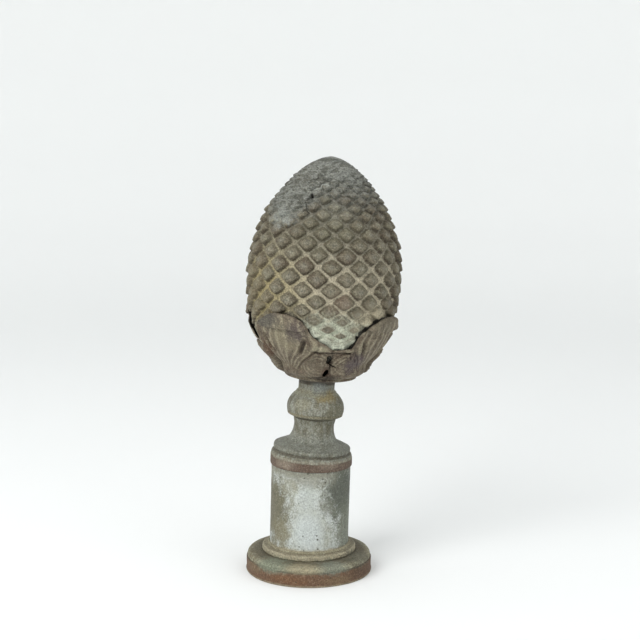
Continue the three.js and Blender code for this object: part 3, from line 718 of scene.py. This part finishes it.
# Noises and marks first, then the coats of colour from the bare skin outwards, then what lies on them all.
def weatheredZinc(name, look, addSkin=None):
    material = bpy.data.materials.new(name)
    material.use_nodes = True
    tree = material.node_tree
    surface = tree.nodes["Principled BSDF"]
    surface.inputs["Metallic"].default_value = look["metallic"]
    place = addNode(tree, "ShaderNodeTexCoord").outputs["Object"]
    runs = addNode(tree, "ShaderNodeMapping", {
        "Vector": place, "Scale": (1, 1, look["runs"])}).outputs["Vector"]
    # cloudy patches, mottling of a few mm and a grain that is drawn coarse enough to show
    clouds, mottle, grain = [addNode(tree, "ShaderNodeTexNoise", {
        "Vector": vector, "Scale": 1000 / look[size], "Detail": detail, "Roughness": rough}).outputs["Fac"]
        for vector, size, detail, rough in (
            (place, "cloudSize", 5, 0.6), (runs, "mottleSize", 6, 0.68), (place, "grainSize", 2, 0.6))]
    cells = addNode(tree, "ShaderNodeTexVoronoi", {
        "Vector": place, "Scale": 1000 / look["pitStep"]}).outputs["Distance"]
    wobble, dither = [addNode(tree, "ShaderNodeMath", {
        0: noise, 1: 0.5}, operation="SUBTRACT").outputs["Value"] for noise in (mottle, grain)]
    # the marks: which noise, where in it the mark starts and ends, and what it gives at both
    marks = {}
    for mark, noise, start, end, low, high in (
        ("cloud", clouds, 0.38, 0.62, 0, 1), ("mottle", mottle, 0.4, 0.62, 0, 1),
        ("speckle", grain, 0.3, 0.7, 1 - look["speckle"], 1 + look["speckle"]),
        ("fleck", grain, 0.58, 0.7, 0, look["flecks"]), ("pit", cells, 0.22, 0.12, 0, look["pitStrength"]),
        ("pitted", clouds, 0.48, 0.56, 0, 1),
        ("roughness", mottle, 0, 1, look["roughness"] - 0.1, look["roughness"] + 0.1),
    ):
        marks[mark] = addNode(tree, "ShaderNodeMapRange", {
            "Value": noise, "From Min": start, "From Max": end,
            "To Min": low, "To Max": high}).outputs["Result"]
    pits = addNode(tree, "ShaderNodeMath", {
        0: marks["pit"], 1: marks["pitted"]}, operation="MULTIPLY").outputs["Value"]
    base, tint = [addNode(tree, "ShaderNodeMix", {
        0: marks[mark], 6: linear(look[first]), 7: linear(look[second])}, data_type="RGBA").outputs[2]
        for mark, first, second in (("cloud", "dark", "light"), ("mottle", "earth", "lime"))]
    coats = [(look["mottleShare"], tint)]
    # layers that follow the form, some of them painted shade and highlight: attribute, start, end, how
    # ragged, colour, strength
    for attribute, start, end, ragged, tone, strength in look["layers"]:
        value = addNode(tree, "ShaderNodeAttribute", attribute_name=attribute).outputs["Fac"]
        moved = addNode(tree, "ShaderNodeMath", {
            0: wobble, 1: ragged, 2: value}, operation="MULTIPLY_ADD").outputs["Value"]
        share = addNode(tree, "ShaderNodeMapRange", {
            "Value": moved, "From Min": start, "From Max": end, "To Max": strength}).outputs["Result"]
        coats.append((share, tone))
    # bands between two heights of the turned profile, some of them painted shade: low, high, how soft, how
    # ragged, colour, strength
    for low, high, soft, ragged, tone, strength in look["bandsAndPaintedShade"]:
        level = addNode(tree, "ShaderNodeAttribute", attribute_name="level").outputs["Fac"]
        moved = addNode(tree, "ShaderNodeMath", {
            0: wobble, 1: ragged, 2: level}, operation="MULTIPLY_ADD").outputs["Value"]
        rises, falls = [addNode(tree, "ShaderNodeMapRange", {
            "Value": moved, "From Min": start, "From Max": end, "To Max": top}).outputs["Result"]
            for start, end, top in ((low - soft, low + soft, strength), (high + soft, high - soft, 1))]
        share = addNode(tree, "ShaderNodeMath", {0: rises, 1: falls}, operation="MULTIPLY").outputs["Value"]
        coats.append((share, tone))
    # stains, and patches of painted light and shade: azimuth, radius and height of the middle, reach each
    # way, how ragged, colour, strength
    for middle, reach, ragged, tone, strength in look["stainsAndPaintedShading"]:
        moved = addNode(tree, "ShaderNodeVectorMath", {
            0: place, 1: stackPoint(*middle)}, operation="SUBTRACT").outputs["Vector"]
        sized = addNode(tree, "ShaderNodeVectorMath", {
            0: moved, 1: [side * mm for side in reach]}, operation="DIVIDE").outputs["Vector"]
        edge = addNode(tree, "ShaderNodeVectorMath", {0: sized}, operation="LENGTH").outputs["Value"]
        for noise, amount in ((dither, look["dither"]), (wobble, ragged)):
            edge = addNode(tree, "ShaderNodeMath", {
                0: noise, 1: amount, 2: edge}, operation="MULTIPLY_ADD").outputs["Value"]
        share = addNode(tree, "ShaderNodeMapRange", {
            "Value": edge, "From Min": 1.25, "From Max": 0.45, "To Max": strength},
            interpolation_type="SMOOTHSTEP").outputs["Result"]
        coats.append((share, tone))
    if addSkin:
        coats += addSkin(tree, place)
    colour = base
    for share, tone in coats:
        top = linear(tone) if isinstance(tone, str) else tone
        colour = addNode(tree, "ShaderNodeMix", {0: share, 6: colour, 7: top}, data_type="RGBA").outputs[2]
    # speckle, flecks and pits of the corroded skin
    colour = addNode(tree, "ShaderNodeVectorMath", {
        0: colour, "Scale": marks["speckle"]}, operation="SCALE").outputs["Vector"]
    for share, tone in ((marks["fleck"], look["fleck"]), (pits, look["pit"])):
        colour = addNode(tree, "ShaderNodeMix", {
            0: share, 6: colour, 7: linear(tone)}, data_type="RGBA").outputs[2]
    height = mottle
    for mark, amount in ((grain, 0.5), (pits, -0.6)):
        height = addNode(tree, "ShaderNodeMath", {
            0: mark, 1: amount, 2: height}, operation="MULTIPLY_ADD").outputs["Value"]
    bump = addNode(tree, "ShaderNodeBump", {
        "Height": height, "Strength": look["bump"], "Distance": look["bumpDepth"] * mm}).outputs["Normal"]
    for socket, value in (("Base Color", colour), ("Roughness", marks["roughness"]), ("Normal", bump)):
        tree.links.new(value, surface.inputs[socket])
    return material


footLook = {  # sheet zinc limed over an olive skin, with rust-brown paint left on the rim: dull and dusty
    "dark": "#6f6650", "light": "#8a826b", "earth": "#585039", "lime": "#9a9984", "mottleShare": 0.6,
    "runs": 1, "dither": 0.8, "cloudSize": 22, "mottleSize": 7, "grainSize": 2, "roughness": 0.8,
    "metallic": 0.1, "bump": 0.8, "bumpDepth": 1.1,
    "speckle": 0.36, "flecks": 0.16, "fleck": "#aaa791", "pitStep": 5, "pitStrength": 0.85,
    "pit": "#352f22", "layers": (),
    "bandsAndPaintedShade": (
        (2.2, 17.2, 0.5, 1.2, "#5d402c", 0.9), (16.7, 18.4, 0.6, 1.2, "#41372b", 0.75),
        (-1, 2.2, 0.5, 0.8, "#7a6b56", 0.8), (24.6, 27, 0.6, 1, "#4c4534", 0.8),
        (27.6, 33.6, 0.8, 4, "#978f78", 0.6), (33, 34.4, 0.4, 1, "#5d5542", 0.5),
        (34.6, 36.8, 0.5, 1, "#8b846c", 0.6),
    ),
    "stainsAndPaintedShading": (
        ((-38, 74, 21), (30, 22, 9), 2.4, "#747b69", 0.75), ((24, 74, 22), (24, 18, 9), 2.4, "#72776a", 0.7),
        ((60, 78, 10), (40, 40, 9), 1.2, "#4b3a2c", 0.5), ((-4, 74, 22), (22, 16, 7), 2.4, "#978e73", 0.6),
        ((60, 70, 24), (24, 24, 9), 2.4, "#565446", 0.7), ((-20, 79, 9), (30, 16, 6), 1.6, "#6c4c31", 0.6),
        ((28, 79, 7), (26, 20, 6), 2, "#6f5d45", 0.6), ((-62, 79, 12), (22, 22, 7), 2, "#6b5b44", 0.6),
    ),
}
drumLook = {  # zinc pipe bleached chalk white by lime wash, stained by damp: flat, powdery, pitted
    "dark": "#9da19a", "light": "#b0b6b4", "earth": "#92917f", "lime": "#b6bab6", "mottleShare": 0.45,
    "runs": 0.8, "dither": 0.6, "cloudSize": 30, "mottleSize": 9, "grainSize": 2, "roughness": 0.72,
    "metallic": 0.1, "bump": 0.5, "bumpDepth": 0.6,
    "speckle": 0.26, "flecks": 0.12, "fleck": "#bfc3bf", "pitStep": 7, "pitStrength": 0.9, "pit": "#3b3a2d",
    "layers": (),
    "bandsAndPaintedShade": ((34, 38, 1.5, 8, "#9c937a", 0.7), (130, 137, 2.5, 10, "#6b6857", 0.7)),
    "stainsAndPaintedShading": (
        ((-64, 48, 84), (30, 34, 50), 1.3, "#5f5b47", 0.95),
        ((-46, 50, 56), (18, 26, 19), 1.6, "#77725c", 0.7),
        ((58, 50, 108), (34, 40, 42), 1.5, "#4b4e43", 0.95),
        ((70, 50, 60), (26, 28, 40), 1.6, "#676a5c", 0.85),
        ((-4, 50, 131), (46, 26, 16), 1.6, "#79786a", 0.7), ((-30, 50, 116), (14, 18, 12), 2, "#83816f", 0.5),
        ((26, 50, 92), (13, 16, 13), 1.8, "#6a6b5e", 0.65),
        ((-2, 50, 62), (19, 20, 24), 1.6, "#b0b6b4", 0.75),
        ((-4, 50, 104), (12, 16, 18), 1.6, "#a5aaa5", 0.6), ((150, 50, 90), (60, 50, 60), 2, "#74715f", 0.7),
    ),
}
balusterLook = {  # turned zinc gone olive grey, with earth in the hollows, painted shade under the knop and under the cup, and brown paint left on the collar
    "dark": "#605e4d", "light": "#7b7967", "earth": "#4d4737", "lime": "#868880", "mottleShare": 0.6,
    "runs": 0.5, "dither": 0.8, "cloudSize": 22, "mottleSize": 6.5, "grainSize": 1.9, "roughness": 0.76,
    "metallic": 0.12, "bump": 0.7,
    "bumpDepth": 0.8, "speckle": 0.4, "flecks": 0.22, "fleck": "#9b9c90", "pitStep": 5, "pitStrength": 0.4,
    "pit": "#2f2e24", "layers": (),
    "bandsAndPaintedShade": (
        (136, 147, 0.6, 2, "#544033", 0.85), (147.6, 150, 0.7, 2.4, "#86806f", 0.5),
        (201.6, 203, 0.4, 0.6, "#3f3a2b", 0.6), (225.4, 228.6, 0.8, 2, "#8d8c78", 0.45),
        (152.6, 155.6, 0.6, 1, "#453e30", 0.8), (156.4, 176, 4, 10, "#6f726a", 0.5),
        # painted shade: the dark band from 195.6 to 199 lies under the knop
        (195.6, 199, 0.8, 1, "#3a3324", 0.85), (199.6, 203.6, 0.8, 2, "#7c765f", 0.6),
        # painted shade: the dark band from 239.5 to 244.5 lies under the cup's foot
        (228.6, 233, 0.8, 1.4, "#858069", 0.5), (239.5, 244.5, 1.2, 1.4, "#3a3024", 0.85),
    ),
    "stainsAndPaintedShading": (
        ((32, 28, 227), (16, 16, 8), 1.8, "#8a7b53", 0.65),
        ((55, 34, 206), (22, 24, 16), 1.4, "#5b5846", 0.7),
        ((10, 23, 236), (12, 12, 10), 1.6, "#7b807c", 0.6), ((-40, 50, 143), (15, 20, 6), 2, "#857b6c", 0.55),
        ((28, 50, 145), (16, 20, 5), 2, "#796e60", 0.55), ((-30, 30, 216), (12, 14, 8), 1.4, "#858370", 0.6),
    ),
}
calyxLook = {  # thin stamped zinc, brown as old leather, with lime dried on its ribs, dirt and painted shade in its hollows and under the cup, and painted shade on its inside
    "dark": "#564b3d", "light": "#706454", "earth": "#453729", "lime": "#7d7664", "mottleShare": 0.55,
    "runs": 0.8, "dither": 0.5, "cloudSize": 18, "mottleSize": 6, "grainSize": 1.8, "roughness": 0.76,
    "metallic": 0.12, "bump": 0.7, "bumpDepth": 0.8,
    "speckle": 0.36, "flecks": 0.25, "fleck": "#9c9580", "pitStep": 7, "pitStrength": 0.25,
    "pit": "#241d15",
    "layers": (
        ("crest", 0.3, 0.9, 1.5, "#958d75", 0.55), ("hollowDirtAndShade", 0.15, 0.8, 0.7, "#33291f", 0.85),
        # painted shade: the inner face of the cup is painted near-black
        ("inside", 0.2, 0.8, 0, "#17110c", 1),
    ),
    "bandsAndPaintedShade": (),
    "stainsAndPaintedShading": (
        ((40, 66, 276), (16, 24, 18), 1.5, "#463a3f", 0.7), ((8, 54, 252), (22, 20, 9), 1.5, "#2b2118", 0.8),
        ((-30, 86, 308), (20, 20, 26), 1.8, "#8a836a", 0.45),
        ((0, 88, 294), (16, 12, 5), 1.5, "#8f8a74", 0.7), ((-56, 76, 284), (10, 16, 18), 1.6, "#4f3828", 0.7),
        ((-20, 90, 314), (14, 16, 16), 1.6, "#463c3c", 0.7),
        ((-44, 98, 325), (24, 26, 14), 1, "#45423b", 0.8), ((52, 98, 326), (20, 24, 12), 1.4, "#565143", 0.5),
        ((9.5, 62, 261), (6, 12, 8), 1.2, "#432b1c", 0.8),
    ),
}
coneLook = {  # zinc scales dark with soot, pale dust in the grooves, a cool bare crown; painted shade on the pads' lower sides, the hole, the apex and round the cup's rim; painted highlight on the pad centres and the lower right
    "dark": "#584f3f", "light": "#6f6857", "earth": "#463b2a", "lime": "#787663", "mottleShare": 0.6,
    "runs": 1, "dither": 0.6, "cloudSize": 18, "mottleSize": 5.5, "grainSize": 1.9, "roughness": 0.8,
    "metallic": 0.1, "bump": 0.8, "bumpDepth": 0.9,
    "speckle": 0.45, "flecks": 0.3, "fleck": "#928f7e", "pitStep": 6, "pitStrength": 0.3, "pit": "#231f17",
    "layers": (
        ("padTone", 0.2, 1, 0.8, "#7b7462", 0.4), ("padTone", -0.3, -1, 0.8, "#4b3c2e", 0.45),
        # fromPadCentre lightens each pad's middle: a greyer centre with a painted highlight on the dome
        # the pad edge layer is a dirt ring round each pad, with painted shade on its lower side
        ("fromPadCentre", 0.4, 0.1, 0.9, "#7a7a6f", 0.35), ("padDirtAndShade", 0.2, 1, 0.5, "#372d1f", 0.75),
    ),
    "bandsAndPaintedShade": (),
    "stainsAndPaintedShading": (
        ((-62, 90, 350), (30, 46, 54), 2, "#75694b", 0.35), ((12, 96, 352), (16, 20, 16), 2, "#7d6b5b", 0.4),
        # painted light: the pale patch at azimuth 44, height 322 brightens the cone's lower right
        ((44, 94, 322), (28, 36, 30), 1.6, "#a39a82", 0.82),
        ((-44, 84, 446), (22, 26, 12), 2.4, "#8f948f", 0.6),
        # painted shade: the dark patch at the apex, height 521, tones down the sky's highlight on the tip
        ((12, 40, 498), (18, 22, 7), 2.6, "#8d8b83", 0.5), ((0, 0, 521), (20, 20, 12), 2, "#4b4c46", 0.8),
        ((36, 44, 494), (16, 20, 13), 2, "#4c4b42", 0.55), ((8, 66, 455), (26, 26, 14), 2, "#7e7c6c", 0.4),
        ((-44, 46, 492), (18, 24, 12), 2, "#62523f", 0.4), ((0, 80, 430), (50, 50, 22), 2, "#5f5e4a", 0.28),
    ),
}
coneSkin = {  # dust, lime and bare metal over the scales
    "mottleSize": 5, "crown": "#4d504b", "crownStrength": 0.75,
    "streak": "#8f918a", "streakLength": 22, "streakStretch": (1, 1, 3.4), "streakStrength": 0.8,
    "groove": "#a69e88", "ochre": "#90855f", "dull": "#77766a", "grooveStrength": 0.85,
    "ochreFrom": (0.01, -0.05), "dullFrom": (0.375, 0.46),  # where the dust changes, in metres along X and up
    "lime": "#c3c7b4", "limePlace": (8, 82, 300), "limeReach": (50, 40, 36), "limeStrength": 0.9,
    # painted shade: the near-black for the hole, the cracks and the cone at the cup's rim
    "limeAboveRim": (16, 3), "tornShade": "#15100b", "rimShadeAboveRim": (1, -0.6), "rimShadeStrength": 0.95,
}


# The cone's crown is worn to a cool grey with pale streaks. Its grooves hold dust: ochre to the left, cream
# in front and dull near the crown. Lime has run down into the front of the cup.
# At the cup's rim and all below it the cone is painted near-black as shade, with a little soot; the hole and
# cracks are painted near-black as shade too.
def dustCone(tree, place):
    mottle = addNode(tree, "ShaderNodeTexNoise", {
        "Vector": place, "Scale": 1000 / coneSkin["mottleSize"],
        "Detail": 6, "Roughness": 0.72}).outputs["Fac"]
    wobble = addNode(tree, "ShaderNodeMath", {0: mottle, 1: 0.5}, operation="SUBTRACT").outputs["Value"]
    form = {name: addNode(tree, "ShaderNodeAttribute", attribute_name=name).outputs["Fac"] for name in (
        "fromPadCentre", "dust", "crownWear", "tornShade", "ridge", "aboveRim")}
    worn, grooved, limed, rimShadeLevel = [addNode(tree, "ShaderNodeMath", {
        0: wobble, 1: ragged, 2: form[name]}, operation="MULTIPLY_ADD").outputs["Value"]
        for name, ragged in (("crownWear", 1), ("fromPadCentre", 0.5), ("aboveRim", 16), ("aboveRim", 3))]
    # the streaks are the contour lines of a stretched noise
    flattened = addNode(tree, "ShaderNodeMapping", {
        "Vector": place, "Scale": coneSkin["streakStretch"]}).outputs["Vector"]
    streaks = addNode(tree, "ShaderNodeTexNoise", {
        "Vector": flattened, "Scale": 1000 / coneSkin["streakLength"], "Detail": 6, "Roughness": 0.65,
        "Distortion": 0.6}).outputs["Fac"]
    fromLine = addNode(tree, "ShaderNodeMath", {0: streaks, 1: 0.5}, operation="SUBTRACT").outputs["Value"]
    lineAway = addNode(tree, "ShaderNodeMath", {0: fromLine}, operation="ABSOLUTE").outputs["Value"]
    axes = addNode(tree, "ShaderNodeSeparateXYZ", {"Vector": place})
    moved = addNode(tree, "ShaderNodeVectorMath", {
        0: place, 1: stackPoint(*coneSkin["limePlace"])}, operation="SUBTRACT").outputs["Vector"]
    sized = addNode(tree, "ShaderNodeVectorMath", {
        0: moved, 1: [side * mm for side in coneSkin["limeReach"]]}, operation="DIVIDE").outputs["Vector"]
    away = addNode(tree, "ShaderNodeVectorMath", {0: sized}, operation="LENGTH").outputs["Value"]
    limeEdge = addNode(tree, "ShaderNodeMath", {
        0: wobble, 1: 1.6, 2: away}, operation="MULTIPLY_ADD").outputs["Value"]
    # the share of each mark: the value it comes from, where it starts and is whole, and its strength
    shares = {}
    for name, value, (start, end), strength in (
        ("worn", worn, (0.1, 1), coneSkin["crownStrength"]),
        ("streak", lineAway, (0.07, 0.01), coneSkin["streakStrength"]),
        ("groove", grooved, (0.8, 0.92), coneSkin["grooveStrength"]),
        ("ochre", axes.outputs["X"], coneSkin["ochreFrom"], 1),
        ("dull", axes.outputs["Z"], coneSkin["dullFrom"], 1),
        ("lime", limeEdge, (1.2, 0.5), coneSkin["limeStrength"]),
        ("inGroove", grooved, (0.4, 0.75), 1), ("nearRim", limed, coneSkin["limeAboveRim"], 1),
        # painted shade, with a little soot: the cone goes near-black at the cup's rim and below it
        ("rimShade", rimShadeLevel, coneSkin["rimShadeAboveRim"], coneSkin["rimShadeStrength"]),
    ):
        shares[name] = addNode(tree, "ShaderNodeMapRange", {
            "Value": value, "From Min": start, "From Max": end, "To Max": strength}).outputs["Result"]
    limeWhere = addNode(tree, "ShaderNodeMath", {
        0: shares["inGroove"], 1: shares["nearRim"]}, operation="MAXIMUM").outputs["Value"]
    streaked, dusty, limy = [addNode(tree, "ShaderNodeMath", {
        0: shares[name], 1: within}, operation="MULTIPLY").outputs["Value"]
        for name, within in (("streak", shares["worn"]), ("groove", form["dust"]), ("lime", limeWhere))]
    dust = linear(coneSkin["groove"])
    for name in ("ochre", "dull"):
        dust = addNode(tree, "ShaderNodeMix", {
            0: shares[name], 6: dust, 7: linear(coneSkin[name])}, data_type="RGBA").outputs[2]
    return (
        (shares["worn"], coneSkin["crown"]), (streaked, coneSkin["streak"]), (dusty, dust),
        (limy, coneSkin["lime"]),
        (form["ridge"], coneSkin["streak"]), (form["tornShade"], coneSkin["tornShade"]),
        (shares["rimShade"], coneSkin["tornShade"]),
    )


footMaterial = weatheredZinc("limedZincFoot", footLook)
drumMaterial = weatheredZinc("chalkyZincPipe", drumLook)
balusterMaterial = weatheredZinc("oliveGreyZinc", balusterLook)
calyxMaterial = weatheredZinc("brownStampedZinc", calyxLook)
coneMaterial = weatheredZinc("sootyZincScales", coneLook, dustCone)

for piece, material, node, slot, angle in (
    (footPiece, footMaterial, "stepped_base", "weathered_zinc_foot", 40),
    (drumPiece, drumMaterial, "drum", "pale_oxidised_zinc", 40),
    (balusterPiece, balusterMaterial, "baluster", "grey_oxidised_zinc", 50),
    (calyxPiece, calyxMaterial, "leaf_calyx", "brown_oxidised_zinc", 70),
    (conePiece, coneMaterial, "pinecone", "dark_oxidised_zinc", 80),
):
    piece.data.materials.append(material)
    finishPiece(piece, node, angle)


# Studio: a plain pale sweep all round, soft light from the upper left

studio = {
    "floorRadius": 3.4, "sweep": 1.2, "wallHeight": 4, "paint": "#f1f2f1",
    "key": (-1.6, -1.9, 1.9), "keySize": 1.8, "keyPower": 58,
    "fill": (2.2, -1.6, 1.2), "fillSize": 2.2, "fillPower": 15,
    "aim": (0.01, 0, 0.27), "sky": "#f4f6f8", "skyStrength": 0.86,
}


def makeStudio():
    profile = [(0, 0, 0), (studio["floorRadius"] * 1000, 0, studio["sweep"] * 1000)]
    profile.append((studio["floorRadius"] * 1000, studio["wallHeight"] * 1000, 0))
    sweep = spunOutline("studioSweep", roundedProfile(profile, 400), 96, 0.1, inside=True)
    bpy.ops.object.shade_smooth()
    paint = bpy.data.materials.new("matPalePaint")
    paint.use_nodes = True
    paint.node_tree.nodes["Principled BSDF"].inputs["Base Color"].default_value = linear(studio["paint"])
    paint.node_tree.nodes["Principled BSDF"].inputs["Roughness"].default_value = 0.9
    sweep.data.materials.append(paint)
    for name in ("key", "fill"):
        deselectAll()
        bpy.ops.object.light_add(type="AREA", location=studio[name])
        lamp = bpy.context.object
        lamp.name = name + "Light"
        lamp.data.size = studio[name + "Size"]
        lamp.data.energy = studio[name + "Power"]
        lamp.visible_camera = False
        towards = Vector(studio["aim"]) - lamp.location
        lamp.rotation_euler = towards.to_track_quat("-Z", "Y").to_euler()
    world = bpy.data.worlds.new("paleSky")
    world.use_nodes = True
    world.node_tree.nodes["Background"].inputs["Color"].default_value = linear(studio["sky"])
    world.node_tree.nodes["Background"].inputs["Strength"].default_value = studio["skyStrength"]
    bpy.context.scene.world = world


makeStudio()
print("built the studio")

camera = {
    "place": (0.0114014705, -1.6, 0.54350358), "pitch": 8, "roll": 0.55, "lens": 73.125, "sensor": 36,
}


def makeCamera():
    pitch, roll = math.radians(camera["pitch"]), math.radians(camera["roll"])
    forward = np.array((0, math.cos(pitch), -math.sin(pitch)))
    straightUp = np.array((0, math.sin(pitch), math.cos(pitch)))
    aside = np.array((1, 0, 0))
    right = aside * math.cos(roll) + straightUp * math.sin(roll)
    up = straightUp * math.cos(roll) - aside * math.sin(roll)
    deselectAll()
    bpy.ops.object.camera_add(location=camera["place"])
    view = bpy.context.object
    turn = Matrix((right, up, -forward)).transposed().to_4x4()
    view.matrix_world = Matrix.Translation(camera["place"]) @ turn
    view.data.lens = camera["lens"]
    view.data.sensor_width = camera["sensor"]
    bpy.context.scene.camera = view
    bpy.context.scene.view_settings.view_transform = "Standard"


makeCamera()
deselectAll()
print("placed the camera")
